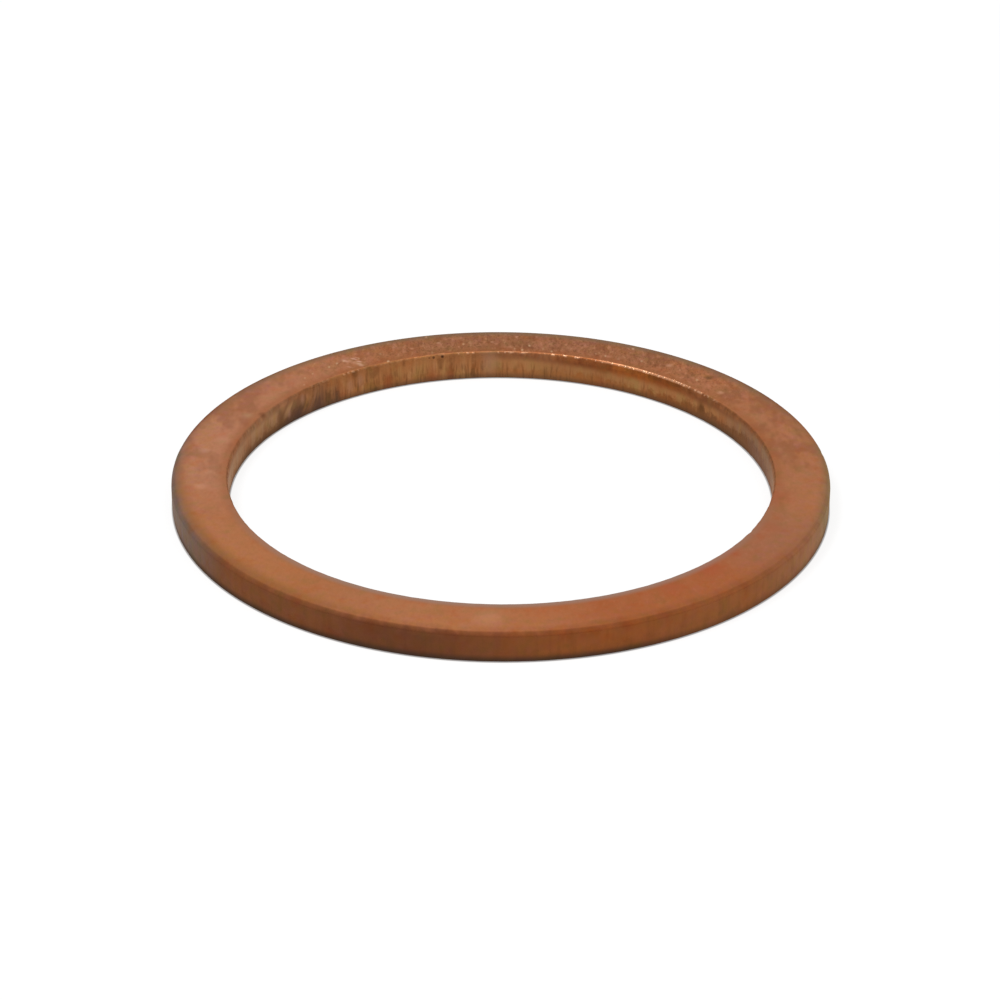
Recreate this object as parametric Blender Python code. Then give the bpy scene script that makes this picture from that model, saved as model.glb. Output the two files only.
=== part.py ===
# Flat copper sealing ring for a drain plug.
#
# The ring is stamped from soft copper strip in one stroke of a compound die: one punch pierces
# the bore while the die around it cuts the rim. Both sheared walls carry the marks of that
# stroke. From the top face down, each wall has a rounded die roll, a straight burnished land,
# and a fracture zone that leans back from the cut by the gap between punch and die. Tumbling
# then breaks the two lower edges.
#
# Units are metres. The axis is +Z, and the lower sealing face lies on z = 0.

import math

import bmesh
import bpy

# The thread that the ring slips over, and the width and thickness of the copper round it
PLUG_THREAD_DIAMETER = 0.0260
THREAD_CLEARANCE = 0.0002
RING_WIDTH = 0.00275
THICKNESS = 0.0015

# Sheared wall of the rim, top to bottom
RIM_ROLL_WIDTH = 0.00056
RIM_ROLL_DEPTH = 0.00028
RIM_LAND_HEIGHT = 0.00062

# Sheared wall of the bore, top to bottom
BORE_ROLL_WIDTH = 0.00017
BORE_ROLL_DEPTH = 0.00034
BORE_LAND_HEIGHT = 0.00058

# Gap between punch and die on each side, and the radius of the tumbled lower edges
DIE_GAP = 0.00007
EDGE_BREAK = 0.00006

# How finely the round shapes are faceted
RING_STEPS = 192
RIM_ROLL_STEPS = 6
BORE_ROLL_STEPS = 5
EDGE_BREAK_STEPS = 3
SMOOTH_ANGLE = math.radians(35)

# Soft copper, dulled by handling and heat
COPPER_COLOUR = (0.42, 0.17, 0.085, 1.0)
COPPER_ROUGHNESS = 0.45

BORE_RADIUS = PLUG_THREAD_DIAMETER / 2 + THREAD_CLEARANCE
RIM_RADIUS = BORE_RADIUS + RING_WIDTH


def clear_scene():
    for obj in list(bpy.data.objects):
        bpy.data.objects.remove(obj, do_unlink=True)


def quarter_round(width, depth, steps):
    """Points of a quarter ellipse, each a distance in from the wall and one off the face.

    The first lies where the flat face ends, and the last where the wall begins."""
    turns = [math.pi / 2 * step / steps for step in range(steps + 1)]
    return [(width * (1 - math.sin(turn)), depth * (1 - math.cos(turn))) for turn in turns]


def sheared_wall(roll_width, roll_depth, roll_steps, land_height):
    """One stamped wall from the top face to the bottom face.

    Each point is a distance into the metal from the burnished land, and a height."""
    die_roll = quarter_round(roll_width, roll_depth, roll_steps)
    land_foot = THICKNESS - roll_depth - land_height
    edge_break = quarter_round(EDGE_BREAK, EDGE_BREAK, EDGE_BREAK_STEPS)
    wall = [(inset, THICKNESS - drop) for inset, drop in die_roll]
    wall.append((0.0, land_foot))
    wall += [(DIE_GAP + inset, rise) for inset, rise in reversed(edge_break)]
    return wall


def ring_section():
    """The closed section as radius and height: down the rim, then back up the bore."""
    rim = sheared_wall(RIM_ROLL_WIDTH, RIM_ROLL_DEPTH, RIM_ROLL_STEPS, RIM_LAND_HEIGHT)
    bore = sheared_wall(BORE_ROLL_WIDTH, BORE_ROLL_DEPTH, BORE_ROLL_STEPS, BORE_LAND_HEIGHT)
    down_the_rim = [(RIM_RADIUS - inset, height) for inset, height in rim]
    up_the_bore = [(BORE_RADIUS + inset, height) for inset, height in reversed(bore)]
    return down_the_rim + up_the_bore


def turned_mesh(name, section, steps):
    """The closed section spun one full turn about Z."""
    bm = bmesh.new()
    points = [bm.verts.new((radius, 0.0, height)) for radius, height in section]
    edges = [bm.edges.new(pair) for pair in zip(points, points[1:] + points[:1])]
    bmesh.ops.spin(
        bm,
        geom=points + edges,
        cent=(0.0, 0.0, 0.0),
        axis=(0.0, 0.0, 1.0),
        angle=2 * math.pi,
        steps=steps,
        use_merge=True,
    )
    bmesh.ops.recalc_face_normals(bm, faces=bm.faces)
    mesh = bpy.data.meshes.new(name)
    bm.to_mesh(mesh)
    bm.free()
    return mesh


def copper():
    material = bpy.data.materials.new("copper")
    material.use_nodes = True
    surface = material.node_tree.nodes["Principled BSDF"]
    surface.inputs["Base Color"].default_value = COPPER_COLOUR
    surface.inputs["Roughness"].default_value = COPPER_ROUGHNESS
    surface.inputs["Metallic"].default_value = 1.0
    return material


def sealing_ring():
    mesh = turned_mesh("sealing_ring", ring_section(), RING_STEPS)
    mesh.shade_smooth()
    mesh.set_sharp_from_angle(angle=SMOOTH_ANGLE)
    mesh.materials.append(copper())
    ring = bpy.data.objects.new("sealing_ring", mesh)
    bpy.context.scene.collection.objects.link(ring)
    return ring


clear_scene()
sealing_ring()
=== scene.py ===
import math

import bpy
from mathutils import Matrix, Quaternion, Vector


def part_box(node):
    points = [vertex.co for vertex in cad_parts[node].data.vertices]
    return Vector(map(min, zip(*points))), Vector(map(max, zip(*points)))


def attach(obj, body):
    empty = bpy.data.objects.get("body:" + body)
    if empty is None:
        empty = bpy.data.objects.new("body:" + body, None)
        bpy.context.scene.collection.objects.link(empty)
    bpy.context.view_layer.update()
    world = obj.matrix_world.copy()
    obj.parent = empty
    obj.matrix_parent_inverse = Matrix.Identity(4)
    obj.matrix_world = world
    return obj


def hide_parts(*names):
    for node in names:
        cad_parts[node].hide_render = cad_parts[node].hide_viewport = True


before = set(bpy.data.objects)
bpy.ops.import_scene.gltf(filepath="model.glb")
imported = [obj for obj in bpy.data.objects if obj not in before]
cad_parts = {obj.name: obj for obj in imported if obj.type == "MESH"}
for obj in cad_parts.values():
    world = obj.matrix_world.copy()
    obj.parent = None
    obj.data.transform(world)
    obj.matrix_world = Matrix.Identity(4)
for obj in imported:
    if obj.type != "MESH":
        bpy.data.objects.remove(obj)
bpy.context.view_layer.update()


# Sealing ring
#
# A flat ring of soft annealed copper, cut out of strip by one stroke of a compound die. The die
# roll, burnished land and torn fracture zone of that stroke show on the rim and in the bore.
# Tumbling, annealing and handling leave its faces dull and its upper edges burnished. The bright line
# along the bore's upper edge is partly a painted highlight.

MM = 0.001
ring_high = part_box("sealing_ring")[1]
ring_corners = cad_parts["sealing_ring"].data.vertices
bore_radius = min(math.hypot(corner.co.x, corner.co.y) for corner in ring_corners)
rim_radius = ring_high.x
thickness = ring_high.z
rim_roll = (0.56 * MM, 0.28 * MM)
bore_roll = (0.17 * MM, 0.34 * MM)
edge_break = (0.03 * MM, 0.03 * MM)


class Wire:
    """One output in a node tree. Arithmetic on wires adds Math nodes to their tree."""

    def __init__(self, bench, socket):
        self.bench = bench
        self.socket = socket

    def __add__(self, other):
        return self.bench.math("ADD", self, other)

    def __sub__(self, other):
        return self.bench.math("SUBTRACT", self, other)

    def __rsub__(self, other):
        return self.bench.math("SUBTRACT", other, self)

    def __mul__(self, other):
        return self.bench.math("MULTIPLY", self, other)

    def __truediv__(self, other):
        return self.bench.math("DIVIDE", self, other)

    __radd__ = __add__
    __rmul__ = __mul__


class Bench:
    """A node tree to build on. Each method adds a node and hands back a Wire from it."""

    def __init__(self, tree):
        self.tree = tree

    def add(self, kind, settings, inputs, output=None):
        node = self.tree.nodes.new(kind)
        for name, value in settings.items():
            setattr(node, name, value)
        sockets = {socket.identifier: socket for socket in node.inputs}
        for name, value in inputs.items():
            if isinstance(value, Wire):
                self.tree.links.new(value.socket, sockets[name])
            elif sockets[name].type == "RGBA":
                sockets[name].default_value = (*value, 1.0)
            else:
                sockets[name].default_value = value
        if not node.outputs:
            return None
        outputs = {socket.identifier: socket for socket in node.outputs}
        return Wire(self, outputs[output] if output else node.outputs[0])

    def math(self, operation, *values):
        inputs = dict(zip(("Value", "Value_001", "Value_002"), values))
        return self.add("ShaderNodeMath", {"operation": operation}, inputs)

    def vector_math(self, operation, output, **inputs):
        return self.add("ShaderNodeVectorMath", {"operation": operation}, inputs, output)

    def scaled(self, vector, factor):
        return self.vector_math("SCALE", "Vector", Vector=vector, Scale=factor)

    def summed(self, first, second):
        return self.vector_math("ADD", "Vector", Vector=first, Vector_001=second)

    def vector(self, x, y, z):
        return self.add("ShaderNodeCombineXYZ", {}, {"X": x, "Y": y, "Z": z})

    def parts(self, vector):
        first = self.add("ShaderNodeSeparateXYZ", {}, {"Vector": vector})
        return [Wire(self, socket) for socket in first.socket.node.outputs]

    def noise(self, vector, scale, detail=2.0, roughness=0.5):
        """Soft noise from 0 to 1, whose features are 1 / scale across."""
        inputs = {"Vector": vector, "Scale": scale, "Detail": detail, "Roughness": roughness}
        return self.add("ShaderNodeTexNoise", {}, inputs, "Fac")

    def rise(self, value, low, high):
        """0 below low, 1 above high, and a smooth slope between them."""
        inputs = {"Value": value, "From Min": low, "From Max": high}
        return self.add("ShaderNodeMapRange", {"interpolation_type": "SMOOTHSTEP"}, inputs)

    def fall(self, value, low, high):
        """1 below low, 0 above high, and a smooth slope between them."""
        return 1 - self.rise(value, low, high)

    def spot(self, place, centre, reach):
        """1 at the centre, and 0 from the reach outwards."""
        gap = self.vector_math("DISTANCE", "Value", Vector=place, Vector_001=centre)
        return self.fall(gap, 0.0, reach)

    def stretch(self, outwards, degrees, reach):
        """1 at one angle round the axis, and 0 from reach degrees away from it."""
        middle = (math.cos(math.radians(degrees)), math.sin(math.radians(degrees)), 0.0)
        likeness = self.vector_math("DOT_PRODUCT", "Value", Vector=outwards, Vector_001=middle)
        return self.rise(likeness, math.cos(math.radians(reach)), 1.0)

    def colour(self, factor, first, second):
        """The first colour where the factor is 0, and the second where it is 1."""
        inputs = {"Factor_Float": factor, "A_Color": first, "B_Color": second}
        return self.add("ShaderNodeMix", {"data_type": "RGBA"}, inputs, "Result_Color")

    def stained(self, factor, first, tint):
        """The first colour, multiplied by the tint where the factor is 1."""
        settings = {"data_type": "RGBA", "blend_type": "MULTIPLY"}
        inputs = {"Factor_Float": factor, "A_Color": first, "B_Color": tint}
        return self.add("ShaderNodeMix", settings, inputs, "Result_Color")

    def tinted(self, base, outwards, tints):
        """The base colour, changed round the ring by tints: degrees, reach, share and colour."""
        for degrees, reach, share, tint in tints:
            base = self.colour(self.stretch(outwards, degrees, reach) * share, base, tint)
        return base


def on_ring(degrees, radius, height):
    """A place on the ring, in mm, from its angle round the axis."""
    turn = math.radians(degrees)
    return (radius * math.cos(turn), radius * math.sin(turn), height)


def quarter_round(width, depth, steps):
    """Points from where a flat face ends to where its wall begins, as inset and depth."""
    turns = [math.pi / 2 * step / steps for step in range(steps + 1)]
    return [(width * (1 - math.sin(turn)), depth * (1 - math.cos(turn))) for turn in turns]


def stamped_wall(roll, roll_steps, wall_steps, break_steps=4):
    """One wall as inset and height, from the top face down to the bottom face."""
    upper = [(inset, thickness - drop) for inset, drop in quarter_round(*roll, roll_steps)]
    lower = [(inset, rise) for inset, rise in reversed(quarter_round(*edge_break, break_steps))]
    top, bottom = upper[-1][1], lower[0][1]
    straight = [(0.0, top + (bottom - top) * step / wall_steps) for step in range(1, wall_steps)]
    return upper + straight + lower


def across(start, end, steps):
    """Points along the flat face between two walls, both ends left out."""
    shares = [step / steps for step in range(1, steps)]
    return [(start[0] + (end[0] - start[0]) * share, start[1]) for share in shares]


# The closed section: down the rim, across the bottom, up the bore and across the top. Its x is
# the distance out from the bore. Its y is the height turned over, as the sweep lays y downwards
ring_width = rim_radius - bore_radius
face_steps = 5
rim_points = stamped_wall(rim_roll, roll_steps=8, wall_steps=15)
rim = [(ring_width - inset, height) for inset, height in rim_points]
bore = list(reversed(stamped_wall(bore_roll, roll_steps=7, wall_steps=14)))
section = rim + across(rim[-1], bore[0], face_steps) + bore + across(bore[-1], rim[0], face_steps)
section_mesh = bpy.data.meshes.new("ring_section")
section_edges = [(point, (point + 1) % len(section)) for point in range(len(section))]
section_mesh.from_pydata([(x, -height, 0.0) for x, height in section], section_edges, [])
blank = bpy.data.objects.new("ring_section", section_mesh)
bpy.context.scene.collection.objects.link(blank)

stamping = bpy.data.node_groups.new("stamping", "GeometryNodeTree")
stamping_inputs = {
    "Section": ("NodeSocketGeometry", None),
    "Copper": ("NodeSocketMaterial", None),
    "Steps Round": ("NodeSocketInt", 1600),
    "Bore Radius": ("NodeSocketFloat", bore_radius),
    "Rim Radius": ("NodeSocketFloat", rim_radius),
    "Thickness": ("NodeSocketFloat", thickness),
    "Rim Land Foot": ("NodeSocketFloat", 0.55 * MM),
    "Bore Land Foot": ("NodeSocketFloat", 0.40 * MM),
    "Raggedness": ("NodeSocketFloat", 0.50 * MM),
    "Die Gap": ("NodeSocketFloat", 0.02 * MM),
    "Tear Depth": ("NodeSocketFloat", 0.030 * MM),
    "Streak Depth": ("NodeSocketFloat", 0.016 * MM),
    "Edge Waviness": ("NodeSocketFloat", 0.030 * MM),
    "Face Waviness": ("NodeSocketFloat", 0.008 * MM),
}
for name, (kind, value) in stamping_inputs.items():
    stamping.interface.new_socket(name, in_out="INPUT", socket_type=kind)
finished = stamping.interface.new_socket("Ring", in_out="OUTPUT", socket_type="NodeSocketGeometry")
die = Bench(stamping)
entry = stamping.nodes.new("NodeGroupInput")
given = {socket.name: Wire(die, socket) for socket in entry.outputs if socket.name}

# The sweep round the axis, with the share of each point that faces sideways
outline = die.add("GeometryNodeMeshToCurve", {}, {"Mesh": given["Section"]})
path_inputs = {"Resolution": given["Steps Round"], "Radius": given["Bore Radius"]}
path = die.add("GeometryNodeCurvePrimitiveCircle", {}, path_inputs)
swept = die.add("GeometryNodeCurveToMesh", {}, {"Curve": path, "Profile Curve": outline})
level = die.parts(die.add("GeometryNodeInputNormal", {}, {}))[2]
wall_inputs = {"Geometry": swept, "Name": "wall", "Value": 1 - die.math("ABSOLUTE", level)}
swept = die.add("GeometryNodeStoreNamedAttribute", {"domain": "POINT"}, wall_inputs)

position = die.add("GeometryNodeInputPosition", {}, {})
x, y, height = die.parts(position)
outwards = die.vector_math("NORMALIZE", "Vector", Vector=die.vector(x, y, 0.0))
radius = die.vector_math("LENGTH", "Value", Vector=die.vector(x, y, 0.0))
wall = die.add("GeometryNodeInputNamedAttribute", {"data_type": "FLOAT"}, {"Name": "wall"})
from_bore = radius - given["Bore Radius"]
from_rim = given["Rim Radius"] - radius
in_bore = die.math("LESS_THAN", from_bore, from_rim)
inset = die.math("MINIMUM", from_bore, from_rim)
near_wall = die.fall(inset, 0.12 * MM, 0.45 * MM)

# Where the burnished land ends and the tear begins: ragged, with peaks where the metal let go
# early. Each peak in the bore is an angle, how far it reaches in degrees, and its rise in mm
tear_peaks = [(39.7, 1.3, 0.46), (45.0, 5.0, 0.16), (50.0, 3.0, 0.16), (54.5, 1.2, 0.25)]
tear_peaks += [(71.0, 9.0, 0.16), (136.0, 12.0, 0.20), (118.0, 10.0, 0.25), (-40.0, 20.0, 0.30)]
tear_peaks += [(34.0, 5.0, 0.20), (22.0, 10.0, 0.30), (14.0, 8.0, 0.32)]

# Noise that only changes round the ring is taken on a circle. Rim and bore have circles apart
circle_radius = 14.5
bore_shift = 9.0
around = die.summed(die.scaled(outwards, circle_radius), die.vector(0.0, 0.0, in_bore * bore_shift))
foot = given["Rim Land Foot"] + (given["Bore Land Foot"] - given["Rim Land Foot"]) * in_bore
for degrees, reach, rise in tear_peaks:
    foot = foot + die.stretch(outwards, degrees, reach) * in_bore * rise * MM
slow_ragged = die.noise(around, 0.45, 1.0) - 0.5
quick_ragged = die.noise(around, 2.6, 3.0, 0.65) - 0.5
foot = foot + given["Raggedness"] * (slow_ragged * 0.7 + quick_ragged)
below_foot = foot - height
tear_inputs = {"Geometry": swept, "Name": "below_foot", "Value": below_foot / MM}
swept = die.add("GeometryNodeStoreNamedAttribute", {"domain": "POINT"}, tear_inputs)

# Relief into the metal, so that the ring keeps its outer size
place = die.scaled(position, 1 / MM)
across_x, across_y, up = die.parts(place)
streak_squeeze = 0.12
drawn_down = die.vector(across_x, across_y, up * streak_squeeze)
torn = die.rise(below_foot, -0.01 * MM, 0.06 * MM)
lean_back = die.math("MAXIMUM", below_foot, 0.0) / foot * given["Die Gap"]
tearing = (die.noise(place, 4.5, 3.0, 0.6) - 0.5) * given["Tear Depth"] * torn
streaks = (die.noise(drawn_down, 3.2, 3.0, 0.6) - 0.5) * given["Streak Depth"]
waves = (die.noise(around, 0.9, 2.0, 0.6) - 0.5) * given["Edge Waviness"]
beads = (die.noise(around, 2.6, 1.0) - 0.5) * given["Edge Waviness"] * in_bore
depth = near_wall * (lean_back + tearing + beads) + wall * (streaks + waves)

# Knocks from the tumbling barrel: angle round the axis, radius, height, reach and depth, in mm
knocks = [
    (103.9, 13.20, 1.42, 0.34, 0.060),
    (126.0, 13.22, 1.44, 0.26, 0.035),
    (47.5, 13.20, 1.46, 0.30, 0.030),
    (-28.0, 13.22, 1.44, 0.34, 0.035),
    (-75.0, 15.95, 0.95, 0.40, 0.030),
    (-118.0, 15.90, 1.25, 0.45, 0.030),
    (8.0, 15.92, 1.10, 0.40, 0.035),
    (74.0, 15.93, 0.20, 0.38, 0.050),
    (160.0, 15.95, 0.10, 0.32, 0.045),
    (-160.0, 13.20, 0.08, 0.30, 0.050),
]
for degrees, knock_radius, knock_height, reach, knock_depth in knocks:
    centre = on_ring(degrees, knock_radius, knock_height)
    depth = depth + die.spot(place, centre, reach) * knock_depth * MM

inwards = die.scaled(outwards, depth * (in_bore * 2.0 - 1.0))
face_depth = die.noise(place, 0.35, 2.0) * given["Face Waviness"] * (1 - wall)
sink = die.vector(0.0, 0.0, face_depth * die.math("SIGN", given["Thickness"] / 2 - height))
relief = die.summed(inwards, sink)
carved = die.add("GeometryNodeSetPosition", {}, {"Geometry": swept, "Offset": relief})
smooth = die.add("GeometryNodeSetShadeSmooth", {}, {"Geometry": carved, "Shade Smooth": True})
whole = die.add("GeometryNodeRealizeInstances", {}, {"Geometry": smooth})
plated = die.add("GeometryNodeSetMaterial", {}, {"Geometry": whole, "Material": given["Copper"]})
die.add("NodeGroupOutput", {}, {finished.identifier: plated})

# Copper as it comes out of the barrel. Colours are linear, and lengths in the pattern are mm
copper = bpy.data.materials.new("stamped_copper")
copper.use_nodes = True
copper.node_tree.nodes.clear()
finish = Bench(copper.node_tree)
bore_wall = bore_radius / MM
rim_wall = rim_radius / MM
top = thickness / MM
place = finish.scaled(finish.add("ShaderNodeTexCoord", {}, {}, "Object"), 1 / MM)
x, y, height = finish.parts(place)
flat_place = finish.vector(x, y, 0.0)
outwards = finish.vector_math("NORMALIZE", "Vector", Vector=flat_place)
radius = finish.vector_math("LENGTH", "Value", Vector=flat_place)
in_bore = finish.math("LESS_THAN", radius, (bore_wall + rim_wall) / 2)
wall = finish.add("ShaderNodeAttribute", {"attribute_name": "wall"}, {}, "Fac")
below_foot = finish.add("ShaderNodeAttribute", {"attribute_name": "below_foot"}, {}, "Fac")

# The faces, tinted round the ring: degrees, reach, share and colour
face_tints = [
    (178.0, 62.0, 0.90, (0.564, 0.260, 0.145)),
    (85.0, 38.0, 0.85, (0.385, 0.161, 0.078)),
    (-60.0, 42.0, 0.90, (0.462, 0.137, 0.048)),
    (-95.0, 26.0, 0.60, (0.552, 0.218, 0.094)),
    (-142.0, 28.0, 0.65, (0.517, 0.196, 0.069)),
    (-30.0, 16.0, 0.60, (0.410, 0.172, 0.096)),
]
plain_face = (0.489, 0.198, 0.090)
warm = (0.483, 0.161, 0.060)
pink = (0.552, 0.230, 0.147)
patch_shade = (0.80, 0.76, 0.77)
olive = (0.345, 0.152, 0.057)
dark_fleck = (0.270, 0.094, 0.044)
pale_fleck = (0.644, 0.310, 0.184)
grit_shade = (0.72, 0.68, 0.66)

# Patterns on the faces, from the broadest to the finest, drawn out a little along the strip
along_strip = finish.vector(x, y * 0.5, height)
cloud = finish.noise(place, 0.30, 3.0, 0.55)
patches = finish.noise(along_strip, 1.0, 2.0, 0.5)
mottle = finish.noise(along_strip, 1.5, 4.0, 0.62)
grain = finish.noise(along_strip, 6.5, 3.0, 0.70)
fleck = finish.noise(along_strip, 4.0, 2.0, 0.6)
grit = finish.noise(along_strip, 13.0, 1.0)
struck = finish.stretch(outwards, 82.0, 60.0)
speckled = finish.stretch(outwards, 92.0, 70.0)
behind = finish.rise(y, -9.0, 5.0)
face = finish.tinted(plain_face, outwards, face_tints)
face = finish.colour(finish.rise(cloud, 0.45, 0.65) * 0.30, face, warm)
face = finish.colour(finish.rise(mottle, 0.42, 0.66) * (0.10 + behind * 0.30), face, pink)
face = finish.stained(finish.rise(patches, 0.45, 0.65) * behind, face, patch_shade)
face = finish.colour(finish.rise(grain, 0.42, 0.62) * (0.14 + struck * 0.38), face, olive)
dark_flecks = finish.rise(fleck, 0.52, 0.66) * (0.06 + struck * 0.36)
face = finish.colour(dark_flecks, face, dark_fleck)
pale_flecks = finish.fall(fleck, 0.30, 0.46) * (0.08 + struck * 0.40)
face = finish.colour(pale_flecks, face, pale_fleck)
face = finish.stained(finish.rise(grit, 0.52, 0.70) * struck * 0.80, face, grit_shade)

# The faces turn darker towards their edges. Towards the rim this is painted shade, where the face
# turns down over the roll
rolled_face = (0.380, 0.136, 0.053)
left_brown = (0.345, 0.144, 0.046)
right_roll_shade_colour = (0.287, 0.098, 0.037)
far_olive = (0.259, 0.178, 0.110)
by_bore = finish.fall(radius, 13.35, 13.95)
face = finish.colour(by_bore * 0.55, face, rolled_face)
left_roll = finish.rise(radius, 14.90, 15.55) * finish.stretch(outwards, -150.0, 45.0)
face = finish.colour(left_roll * 0.60, face, left_brown)
right_roll_shade = finish.rise(radius, 15.20, 15.75) * finish.stretch(outwards, -54.0, 38.0)
face = finish.colour(right_roll_shade * 0.32, face, right_roll_shade_colour)
far_edge = finish.rise(radius, 15.00, 15.60) * finish.stretch(outwards, 88.0, 85.0)
face = finish.colour(far_edge * 0.85, face, far_olive)

# Bright specks where the tumbling chips struck, thicker in one scuffed place. The specks are painted
# glints, tiny highlights off their facets, most of them towards the back
speck_colour = (0.720, 0.460, 0.280)
scuff_colour = (0.782, 0.448, 0.345)
cells = finish.add("ShaderNodeTexVoronoi", {}, {"Vector": along_strip, "Scale": 2.6}, "Distance")
cell_draw = finish.parts(Wire(finish, cells.socket.node.outputs["Color"]))[0]
specks = finish.fall(cells, 0.04, 0.26) * finish.rise(cell_draw + speckled * 0.50, 1.08, 1.30)
rubbing = {"Vector": finish.vector(x * 0.55, y + x * 0.3, height), "Scale": 4.6}
chips = finish.add("ShaderNodeTexVoronoi", {}, rubbing, "Distance")
scuff = finish.spot(place, on_ring(122.8, 14.10, top), 0.95)
scuffs = finish.fall(chips, 0.15, 0.55) * finish.rise(scuff, 0.10, 0.55)
face = finish.colour(specks * 0.85, face, speck_colour)
face = finish.colour(scuffs * 0.70, face, scuff_colour)

# The walls: the die has dragged the metal into upright streaks, which lean where it slipped
slip_lean = 0.050
streak_squeeze = 0.11
slipped = finish.stretch(outwards, 141.5, 8.5) * in_bore
turn = {"Vector": place, "Angle": height * slipped * slip_lean}
dragged = finish.add("ShaderNodeVectorRotate", {"rotation_type": "Z_AXIS"}, turn)
dragged_x, dragged_y, dragged_z = finish.parts(dragged)
drawn_down = finish.vector(dragged_x, dragged_y, dragged_z * streak_squeeze)
streak = finish.noise(drawn_down, 3.2, 3.0, 0.50)
hair = finish.noise(drawn_down, 9.0, 2.0, 0.6)
fold = finish.noise(drawn_down, 1.3, 3.0, 0.6)
tear_grain = finish.noise(place, 5.0, 3.0, 0.65)
blotch = finish.noise(place, 0.9, 3.0, 0.6)
ragged_foot = below_foot + (tear_grain - 0.5) * 0.6 + (streak - 0.5) * 0.4 + (blotch - 0.5) * 0.6
torn = finish.rise(ragged_foot, -0.15, 0.19)

# The bore's wall, with a stretch where the punch was worn and scored it from top to bottom. Its
# land, its tear and its roll are each tinted in the same way as the faces
land_tints = [
    (168.0, 30.0, 1.00, (0.355, 0.200, 0.106)),
    (151.0, 12.0, 0.60, (0.370, 0.200, 0.102)),
    (10.0, 28.0, 1.00, (0.250, 0.137, 0.080)),
    (120.0, 24.0, 0.90, (0.385, 0.166, 0.060)),
    (71.0, 14.0, 0.80, (0.330, 0.143, 0.054)),
]
tear_tints = [
    (26.0, 26.0, 1.00, (0.172, 0.069, 0.028)),
    (152.0, 20.0, 0.85, (0.205, 0.090, 0.037)),
    (85.0, 25.0, 0.50, (0.345, 0.147, 0.048)),
    (55.0, 16.0, 0.50, (0.265, 0.090, 0.024)),
    (49.5, 8.0, 0.70, (0.205, 0.066, 0.018)),
    (12.0, 12.0, 0.90, (0.190, 0.096, 0.066)),
]
plain_land = (0.385, 0.172, 0.066)
red_fold = (0.325, 0.112, 0.040)
olive_fold = (0.330, 0.178, 0.060)
plain_tear = (0.290, 0.104, 0.031)
left_shade = (0.74, 0.72, 0.70)
score = (0.165, 0.064, 0.021)
pale_drag = (0.470, 0.228, 0.100)
foot_shade_dark = (0.080, 0.042, 0.034)
dark_gouge = (0.130, 0.058, 0.030)
light_gouge = (0.420, 0.225, 0.125)
worn = finish.rise(finish.stretch(outwards, 116.0, 28.0), 0.0, 0.5)
bore_side = finish.tinted(plain_land, outwards, land_tints)
bore_side = finish.colour(finish.rise(fold, 0.46, 0.62) * 0.36, bore_side, red_fold)
bore_side = finish.colour(finish.fall(fold, 0.34, 0.46) * 0.45, bore_side, olive_fold)
low_down = finish.fall(height, 0.45, 1.20)
bore_tear = finish.tinted(plain_tear, outwards, tear_tints)
bore_side = finish.colour(torn * (1 - worn * 0.45) * 0.85, bore_side, bore_tear)
low_left = finish.fall(height, 0.30, 1.00) * finish.stretch(outwards, 153.0, 17.0)
bore_side = finish.stained(low_left, bore_side, left_shade)
hairlines = finish.rise(hair, 0.48, 0.66) * finish.rise(fold, 0.36, 0.52) * low_down
bore_side = finish.colour(hairlines * 0.55, bore_side, score)
broken = finish.rise(finish.noise(place, 2.4, 2.0), 0.40, 0.60)
pale_drags = finish.fall(streak, 0.32, 0.48) * worn
bore_side = finish.colour(pale_drags * broken * 0.45, bore_side, pale_drag)
scores = finish.rise(streak, 0.46, 0.64) * (0.25 + broken * 0.85) * (0.75 + low_down * 0.25)
bore_side = finish.colour(scores * worn * 0.62, bore_side, score)
bore_side = finish.colour(finish.rise(hair, 0.46, 0.66) * worn * 0.22, bore_side, score)
gouge = finish.noise(drawn_down, 1.9, 2.0)
in_slip = finish.rise(slipped, 0.0, 0.5)
bore_side = finish.colour(finish.rise(gouge, 0.44, 0.58) * in_slip * 0.60, bore_side, dark_gouge)
pale_gouge = finish.fall(gouge, 0.34, 0.44) * in_slip
bore_side = finish.colour(pale_gouge * 0.40, bore_side, light_gouge)
# Darker towards the foot in the slipped stretch: painted shade
bore_side = finish.colour(slipped * finish.fall(height, 0.15, 0.95) * 0.45, bore_side, foot_shade_dark)

# Its roll, which is deepest on the right. Its strong orange there is partly a painted reflection of
# the copper across the bore
roll_tints = [
    (112.0, 30.0, 0.80, (0.430, 0.160, 0.050)),
    (84.0, 20.0, 0.80, (0.320, 0.128, 0.052)),
    (57.0, 24.0, 1.00, (0.410, 0.122, 0.026)),
    (71.0, 9.0, 0.80, (0.290, 0.094, 0.030)),
    (156.0, 20.0, 0.90, (0.380, 0.185, 0.088)),
    (31.0, 20.0, 1.00, (0.345, 0.132, 0.050)),
]
plain_roll = (0.350, 0.134, 0.050)
low_shade = (0.74, 0.70, 0.74)
streak_shade = (0.80, 0.74, 0.72)
grain_shade = (0.90, 0.94, 1.05)
roll_foot = 1.06 + finish.stretch(outwards, 12.0, 18.0) * 0.24
roll_foot = roll_foot - finish.stretch(outwards, 56.0, 32.0) * 0.20 + (streak - 0.5) * 0.25
rolled = finish.rise(height - roll_foot, -0.16, 0.26) * (1 - worn * 0.6)
bore_roll_skin = finish.tinted(plain_roll, outwards, roll_tints)
roll_shade = finish.fall(height, 1.05, 1.36) * 0.90
bore_roll_skin = finish.stained(roll_shade, bore_roll_skin, low_shade)
bore_roll_skin = finish.stained(finish.rise(streak, 0.40, 0.66), bore_roll_skin, streak_shade)
bore_roll_skin = finish.stained(finish.rise(tear_grain, 0.40, 0.60), bore_roll_skin, grain_shade)
bore_side = finish.colour(rolled, bore_side, bore_roll_skin)
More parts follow.
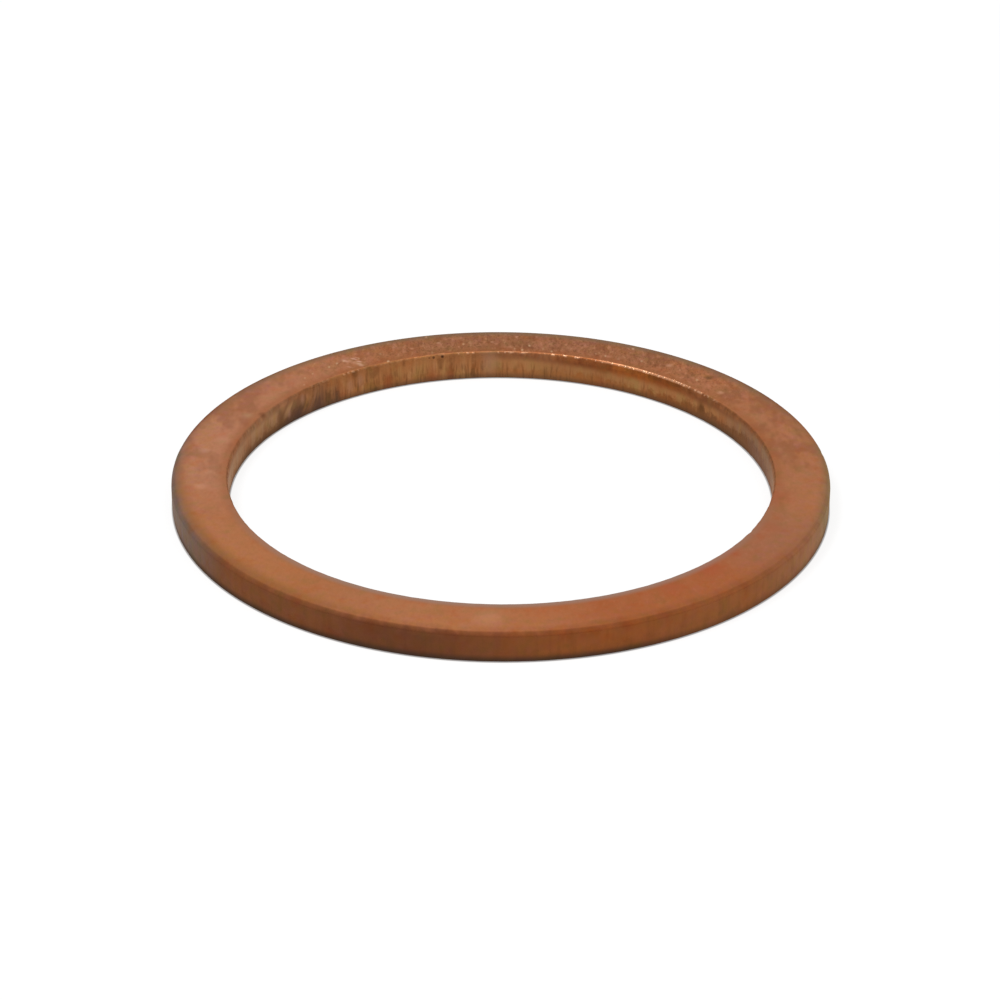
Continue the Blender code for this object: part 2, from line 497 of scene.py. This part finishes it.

# Smears on the bore's wall, taller than wide: degrees, height, reach, share and colour. The
# near-black ones low down are painted shade at the wall's foot
mauve = (0.375, 0.190, 0.118)
tan = (0.440, 0.190, 0.090)
ruddy = (0.290, 0.078, 0.026)
umber = (0.130, 0.052, 0.016)
smears = [
    (146.5, 1.30, 0.36, 0.60, tan),
    (147.0, 0.20, 0.50, 0.60, umber),
    (144.3, 0.60, 0.22, 0.50, mauve),
    (139.8, 1.00, 0.24, 0.60, mauve),
    (141.2, 0.05, 0.60, 0.60, foot_shade_dark),
    (138.4, 1.10, 0.14, 0.45, tan),
    (134.6, 0.20, 0.95, 0.75, foot_shade_dark),
    (130.0, 0.10, 0.75, 0.55, foot_shade_dark),
    (126.0, 0.70, 0.34, 0.45, mauve),
    (123.3, 0.85, 0.30, 0.45, mauve),
    (124.8, 1.34, 0.32, 0.50, umber),
    (128.0, 0.36, 0.40, 0.45, ruddy),
    (116.2, 0.30, 0.50, 0.70, ruddy),
    (105.7, 0.20, 0.55, 0.70, ruddy),
    (101.5, 0.40, 0.40, 0.45, ruddy),
    (98.8, 0.70, 0.16, 0.40, umber),
    (96.4, 0.30, 0.18, 0.60, umber),
    (92.5, 1.00, 0.70, 0.45, mauve),
    (86.8, 0.50, 0.18, 0.35, umber),
    (80.0, 0.40, 0.24, 0.35, umber),
    (67.0, 0.30, 0.40, 0.45, ruddy),
    (52.0, 1.18, 0.60, 0.45, ruddy),
    (39.8, 0.70, 0.36, 0.65, umber),
]
smear_squeeze = 0.5
upright = finish.vector(x, y, height * smear_squeeze)
for degrees, smear_height, reach, share, tint in smears:
    centre = on_ring(degrees, bore_wall, smear_height * smear_squeeze)
    smear = finish.spot(upright, centre, reach)
    bore_side = finish.colour(smear * (streak * 0.8 + 0.6) * share, bore_side, tint)

# The shade and the nicks under its upper edge. Each nick is an angle, its reach and its share
edge_shade = (0.130, 0.045, 0.013)
pit = (0.060, 0.022, 0.010)
nick_height = 1.37
nicks = [(103.4, 0.17, 0.95), (105.4, 0.13, 0.70), (106.4, 0.10, 0.50)]
under_edge = finish.rise(wall, 0.50, 0.70) * finish.rise(height, 1.05, 1.25)
shade = finish.rise(blotch, 0.40, 0.55) * finish.stretch(outwards, 52.0, 20.0)
bore_side = finish.colour(under_edge * shade * 0.55, bore_side, edge_shade)
for degrees, reach, share in nicks:
    nick = finish.spot(place, on_ring(degrees, bore_wall, nick_height), reach)
    bore_side = finish.colour(finish.rise(nick, 0.1, 0.6) * share, bore_side, pit)

# The rim's wall: darker than the faces and darkest in front, partly as painted shade. Its right side
# is paler as painted light, and its far left grey as a painted reflection. Its roll turns softly from
# the face's colour to the wall's, and is painted a little paler where it meets the wall, against the
# shade there
rim_tints = [
    (-56.0, 48.0, 1.00, (0.325, 0.104, 0.030)),
    (-44.0, 24.0, 0.70, (0.350, 0.135, 0.050)),
    (-6.0, 40.0, 1.00, (0.390, 0.190, 0.098)),
    (-138.0, 26.0, 0.90, (0.255, 0.094, 0.038)),
    (-150.0, 12.0, 0.60, (0.190, 0.086, 0.044)),
    (-172.0, 30.0, 1.00, (0.200, 0.152, 0.128)),
    (-4.0, 20.0, 0.80, (0.275, 0.205, 0.108)),
]
rim_line = (0.085, 0.031, 0.014)
plain_rim = (0.186, 0.066, 0.029)
rim_blotch = (0.255, 0.096, 0.040)
foot_dark = (0.062, 0.038, 0.026)
rim_side = finish.tinted(plain_rim, outwards, rim_tints)
rim_side = finish.colour(finish.rise(blotch, 0.40, 0.64) * 0.22, rim_side, rim_blotch)
rim_side = finish.colour(finish.rise(streak, 0.46, 0.70) * 0.10, rim_side, rim_line)
rim_side = finish.colour(torn * 0.10, rim_side, rim_line)
sides = finish.colour(in_bore, rim_side, bore_side)
foot_shade = finish.fall(height, 0.04, 0.42) * (0.85 - in_bore * 0.30)
foot_shade = foot_shade * (1 - finish.stretch(outwards, 10.0, 20.0) * 0.7)
foot_shade = foot_shade * (1 - finish.stretch(outwards, -38.0, 34.0) * 0.55)
sides = finish.colour(foot_shade, sides, foot_dark)
soft_left = finish.stretch(outwards, 162.0, 28.0)
on_bore_wall = finish.rise(wall + (mottle - 0.5) * 0.25, 0.06, 0.36 + soft_left * 0.45) * in_bore
over_edge = (radius - rim_wall) * 0.5 + (top - height) * 0.9
on_rim_wall = finish.rise(over_edge + (mottle - 0.5) * 0.24, -0.34, 0.17)
off_lower_face = finish.rise(wall + finish.rise(height, 0.30, 0.70), 0.20, 0.70)
on_rim_wall = on_rim_wall * finish.rise(radius, 15.00, 15.45) * off_lower_face
on_wall = finish.math("MAXIMUM", on_bore_wall, on_rim_wall)
skin = finish.colour(on_wall, face, sides)
# Painted light, where the rim's roll meets the wall, against the shade there
roll_lift = (1.11, 1.09, 1.09)
painted_roll_light = finish.rise(over_edge, 0.01, 0.12) * finish.fall(over_edge, 0.17, 0.27)
skin = finish.stained(painted_roll_light * (1 - in_bore), skin, roll_lift)

# Stains, rubbed places and painted shade on and round the upper face: degrees, radius, reach, share
# and colour
rubbed = (0.713, 0.380, 0.253)
red = (0.480, 0.110, 0.050)
dark = (0.150, 0.062, 0.032)
brown = (0.200, 0.078, 0.034)
marks = [
    (-46.0, 13.7, 1.30, 0.60, red),
    (-56.0, 13.9, 1.00, 0.45, red),
    (-38.0, 13.5, 0.80, 0.35, red),
    (-12.0, 13.5, 1.20, 0.40, red),
    # The dark marks on the rim's roll in front are painted shade
    (-78.0, 15.9, 0.60, 0.25, dark),
    (-70.0, 15.9, 0.70, 0.20, dark),
    (-61.5, 15.8, 0.60, 0.18, dark),
    (-56.0, 15.6, 0.50, 0.14, dark),
    (-46.0, 15.7, 0.60, 0.12, dark),
    (-25.0, 14.0, 0.90, 0.25, red),
    (44.0, 14.7, 0.30, 0.70, dark),
    (154.0, 13.24, 0.36, 0.65, brown),
    (173.0, 14.6, 0.45, 0.40, rubbed),
    (-172.0, 14.6, 0.50, 0.45, rubbed),
    (168.0, 14.0, 0.60, 0.25, rubbed),
    (-178.0, 14.2, 0.40, 0.25, rubbed),
    (156.0, 13.9, 0.50, 0.30, rubbed),
    (124.0, 14.60, 0.30, 0.35, rubbed),
    (123.2, 14.35, 0.28, 0.45, rubbed),
    (122.6, 14.05, 0.28, 0.45, rubbed),
    (122.2, 13.80, 0.26, 0.50, rubbed),
    (122.0, 13.58, 0.26, 0.50, rubbed),
    (109.0, 14.3, 0.18, 0.60, rubbed),
    (103.0, 14.6, 0.16, 0.60, rubbed),
    (92.0, 14.4, 0.16, 0.55, rubbed),
    (87.0, 15.05, 0.14, 0.80, rubbed),
    (53.5, 14.5, 0.26, 0.55, rubbed),
    (37.5, 14.0, 0.28, 0.50, rubbed),
    (-92.0, 14.6, 1.10, 0.25, rubbed),
]
for degrees, mark_radius, reach, share, tint in marks:
    mark = finish.spot(place, on_ring(degrees, mark_radius, top), reach)
    skin = finish.colour(mark * share, skin, tint)

# Patches that the annealing left redder or greener, and smaller ones bluer or yellower
redder = (1.00, 0.86, 0.76)
greener = (0.88, 1.00, 0.88)
bluer = (1.00, 0.98, 1.11)
yellower = (1.00, 1.01, 0.90)
flush = finish.noise(finish.summed(place, (5.0, 9.0, 2.0)), 1.1, 4.0, 0.60)
skin = finish.stained(finish.rise(flush, 0.50, 0.74), skin, redder)
skin = finish.stained(finish.fall(flush, 0.26, 0.50), skin, greener)
tarnish = finish.noise(finish.summed(place, (2.0, 4.0, 7.0)), 2.4, 2.0, 0.5)
hued = 1 - in_bore * 0.8
skin = finish.stained(finish.rise(tarnish, 0.48, 0.68) * hued, skin, bluer)
skin = finish.stained(finish.fall(tarnish, 0.32, 0.52) * hued, skin, yellower)

# The bore's upper edge is burnished, and carries a beaded painted highlight: degrees, reach and share
# of each stretch. In front a thin pale line is painted along it as a reflection
gleams = [
    (134.0, 4.0, 0.14),
    (126.0, 3.5, 0.22),
    (112.0, 22.0, 0.09),
    (98.0, 3.0, 0.28),
    (87.5, 6.0, 0.36),
    (75.0, 6.0, 0.60),
    (66.0, 5.0, 0.70),
    (58.0, 12.0, 0.90),
    (50.0, 7.0, 1.00),
    (42.0, 9.0, 0.45),
    (85.0, 60.0, 0.02),
]
edge_highlight = (0.870, 0.490, 0.300)
pale_line = (0.400, 0.305, 0.262)
gleam = sum(finish.stretch(outwards, degrees, reach) * share for degrees, reach, share in gleams)
edge = finish.rise(wall, 0.08, 0.26) * finish.fall(wall, 0.46, 0.68) * in_bore
edge = edge * finish.rise(height, 1.30, 1.40)
beads = finish.rise(finish.noise(drawn_down, 5.0, 1.0), 0.49, 0.64)
unbroken = finish.stretch(outwards, 55.0, 16.0) * 0.34 + 0.02
beaded = beads + (1 - beads) * unbroken
polish_and_highlight = edge * beaded * finish.math("MINIMUM", gleam, 1.0)
skin = finish.colour(polish_and_highlight, skin, edge_highlight)
# Painted reflection: a thin pale line along the front of the bore's upper edge
near_edge = finish.fall(radius, 13.40, 13.82) * finish.rise(height, 1.42, 1.49)
near_edge = near_edge * finish.stretch(outwards, -90.0, 88.0)
skin = finish.colour(near_edge * 0.62, skin, pale_line)

# Relief finer than the mesh, in mm, and how dull each part is
on_side = finish.rise(wall, 0.30, 0.80)
face_relief = mottle * 0.012 + grain * 0.006 + (fleck + grit * 0.4) * struck * 0.006
side_relief = streak * 0.008 + hair * 0.003 + tear_grain * torn * 0.014
fine_relief = face_relief + (side_relief - face_relief) * on_side + beads * polish_and_highlight * 0.02
bumped = finish.add("ShaderNodeBump", {}, {"Distance": MM, "Height": fine_relief})
on_rim_roll = finish.rise(wall, 0.01, 0.10) * (1 - finish.rise(wall, 0.50, 0.95) * 0.5) * (1 - in_bore)
dull = 0.50 + (mottle - 0.5) * 0.20 - polish_and_highlight * 0.30 + on_rim_roll * 0.32 - specks * 0.10
surface_inputs = {
    "Base Color": skin,
    "Metallic": 1.0,
    "Roughness": dull,
    "Specular Tint": (0.85, 0.70, 0.60),
    "Normal": bumped,
}
surface = finish.add("ShaderNodeBsdfPrincipled", {}, surface_inputs)
finish.add("ShaderNodeOutputMaterial", {}, {"Surface": surface})

modifier = blank.modifiers.new("stamping", "NODES")
modifier.node_group = stamping
identifiers = {item.name: item.identifier for item in stamping.interface.items_tree}
for name, (kind, value) in stamping_inputs.items():
    if value is not None:
        modifier[identifiers[name]] = value
modifier[identifiers["Copper"]] = copper
stamped = blank.evaluated_get(bpy.context.evaluated_depsgraph_get())
ring = bpy.data.objects.new("copper_ring", bpy.data.meshes.new_from_object(stamped))
bpy.context.scene.collection.objects.link(ring)
bpy.data.objects.remove(blank)
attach(ring, "root")
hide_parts("sealing_ring")


# Table
#
# A plain white sheet under the ring. The camera and the copper see it as the white background,
# and it keeps a soft shadow, with a faint dark line of painted shade close round the ring. Seen from
# below it is clear, so that the lower face shows.

table_mesh = bpy.data.meshes.new("table")
table_reach = 2.0
below_ring = -0.02 * MM
signs = [(-1, -1), (1, -1), (1, 1), (-1, 1)]
table_corners = [(table_reach * sx, table_reach * sy, below_ring) for sx, sy in signs]
table_mesh.from_pydata(table_corners, [], [(0, 1, 2, 3)])
table = bpy.data.objects.new("table", table_mesh)
bpy.context.scene.collection.objects.link(table)


def seen_as_background(bench):
    """1 for rays that should find the white background, and 0 for light on its way."""
    rays = bench.add("ShaderNodeLightPath", {}, {}).socket.node.outputs
    camera, glossy, through = [
        Wire(bench, rays[name])
        for name in ("Is Camera Ray", "Is Glossy Ray", "Is Transmission Ray")
    ]
    return bench.math("MINIMUM", camera + glossy + through, 1.0)


paper = bpy.data.materials.new("white_paper")
paper.use_nodes = True
paper.node_tree.nodes.clear()
sheet = Bench(paper.node_tree)
shadow_share = 0.25
sheet_glow = 1.10
contact_reach = 0.06
contact_share = 0.65
matt = sheet.add("ShaderNodeBsdfDiffuse", {}, {"Color": (0.92, 0.92, 0.92)})
lit = sheet.add("ShaderNodeEmission", {}, {"Color": (1.0, 1.0, 1.0), "Strength": sheet_glow})
clear = sheet.add("ShaderNodeBsdfTransparent", {}, {})
white = seen_as_background(sheet) * (1 - shadow_share)
above = sheet.add("ShaderNodeMixShader", {}, {"Fac": white, "Shader": matt, "Shader_001": lit})
spot_on_sheet = sheet.scaled(sheet.add("ShaderNodeTexCoord", {}, {}, "Object"), 1 / MM)
from_axis = sheet.vector_math("LENGTH", "Value", Vector=spot_on_sheet)
gap = sheet.math("MAXIMUM", from_axis - rim_wall, bore_wall - from_axis)
# Painted shade: a faint dark line on the sheet close round the ring
contact = sheet.fall(gap, 0.0, contact_reach) * contact_share
shade = sheet.add("ShaderNodeBsdfDiffuse", {}, {"Color": (0.180, 0.130, 0.110)})
above = sheet.add("ShaderNodeMixShader", {}, {"Fac": contact, "Shader": above, "Shader_001": shade})
under = sheet.add("ShaderNodeNewGeometry", {}, {}, "Backfacing")
shown = sheet.add("ShaderNodeMixShader", {}, {"Fac": under, "Shader": above, "Shader_001": clear})
sheet.add("ShaderNodeOutputMaterial", {}, {"Surface": shown})
table_mesh.materials.append(paper)


# Studio light
#
# A white room. One lamp overhead, to the left, draws the bright line along the upper edge of the
# bore over its painted highlight, and a strip lamp beside it carries that line on, thinner, to the
# left.

room = bpy.data.worlds.new("white_room")
bpy.context.scene.world = room
room.use_nodes = True
room.node_tree.nodes.clear()
walls = Bench(room.node_tree)
ambient = 0.62
glow = ambient + seen_as_background(walls) * (1 - ambient)
room_light = walls.add("ShaderNodeBackground", {}, {"Strength": glow})
walls.add("ShaderNodeOutputWorld", {}, {"Surface": room_light})


def soft_lamp(name, direction, distance, width, depth, radiance):
    """A flat lamp that faces the ring. Its radiance is what a mirror would show."""
    lamp = bpy.data.lights.new(name, "AREA")
    lamp.shape = "RECTANGLE"
    lamp.size = width
    lamp.size_y = depth
    lamp.energy = radiance * math.pi * width * depth
    holder = bpy.data.objects.new(name, lamp)
    holder.location = Vector(direction).normalized() * distance
    holder.rotation_euler = Vector(direction).to_track_quat("Z", "Y").to_euler()
    bpy.context.scene.collection.objects.link(holder)


overhead = (-0.38, -0.22, 0.90)
beside = (0.20, -0.28, 0.94)
soft_lamp("overhead_lamp", overhead, distance=0.30, width=0.09, depth=0.09, radiance=11.0)
soft_lamp("strip_lamp", beside, distance=0.30, width=0.26, depth=0.05, radiance=4.0)


# Camera
#
# Fitted to the ring's outlines in the photograph: it looks down at 27.8 degrees from in front,
# with a long lens, and is turned very slightly about its own axis.

elevation = math.radians(27.832)
camera_distance = 0.17057
camera_roll = math.radians(0.307)
aim_right, aim_up = -0.038 * MM, -0.200 * MM
camera_data = bpy.data.cameras.new("camera")
camera_data.sensor_width = 36.0
camera_data.lens = 126.0
camera_data.clip_start = 0.001
camera_data.clip_end = 10.0
camera = bpy.data.objects.new("camera", camera_data)
tilt = Quaternion((1.0, 0.0, 0.0), math.pi / 2 - elevation)
turned = tilt @ Quaternion((0.0, 0.0, 1.0), camera_roll)
camera.rotation_euler = turned.to_euler()
camera.location = turned @ Vector((aim_right, aim_up, camera_distance))
bpy.context.scene.collection.objects.link(camera)
bpy.context.scene.camera = camera
bpy.context.scene.view_settings.view_transform = "Standard"
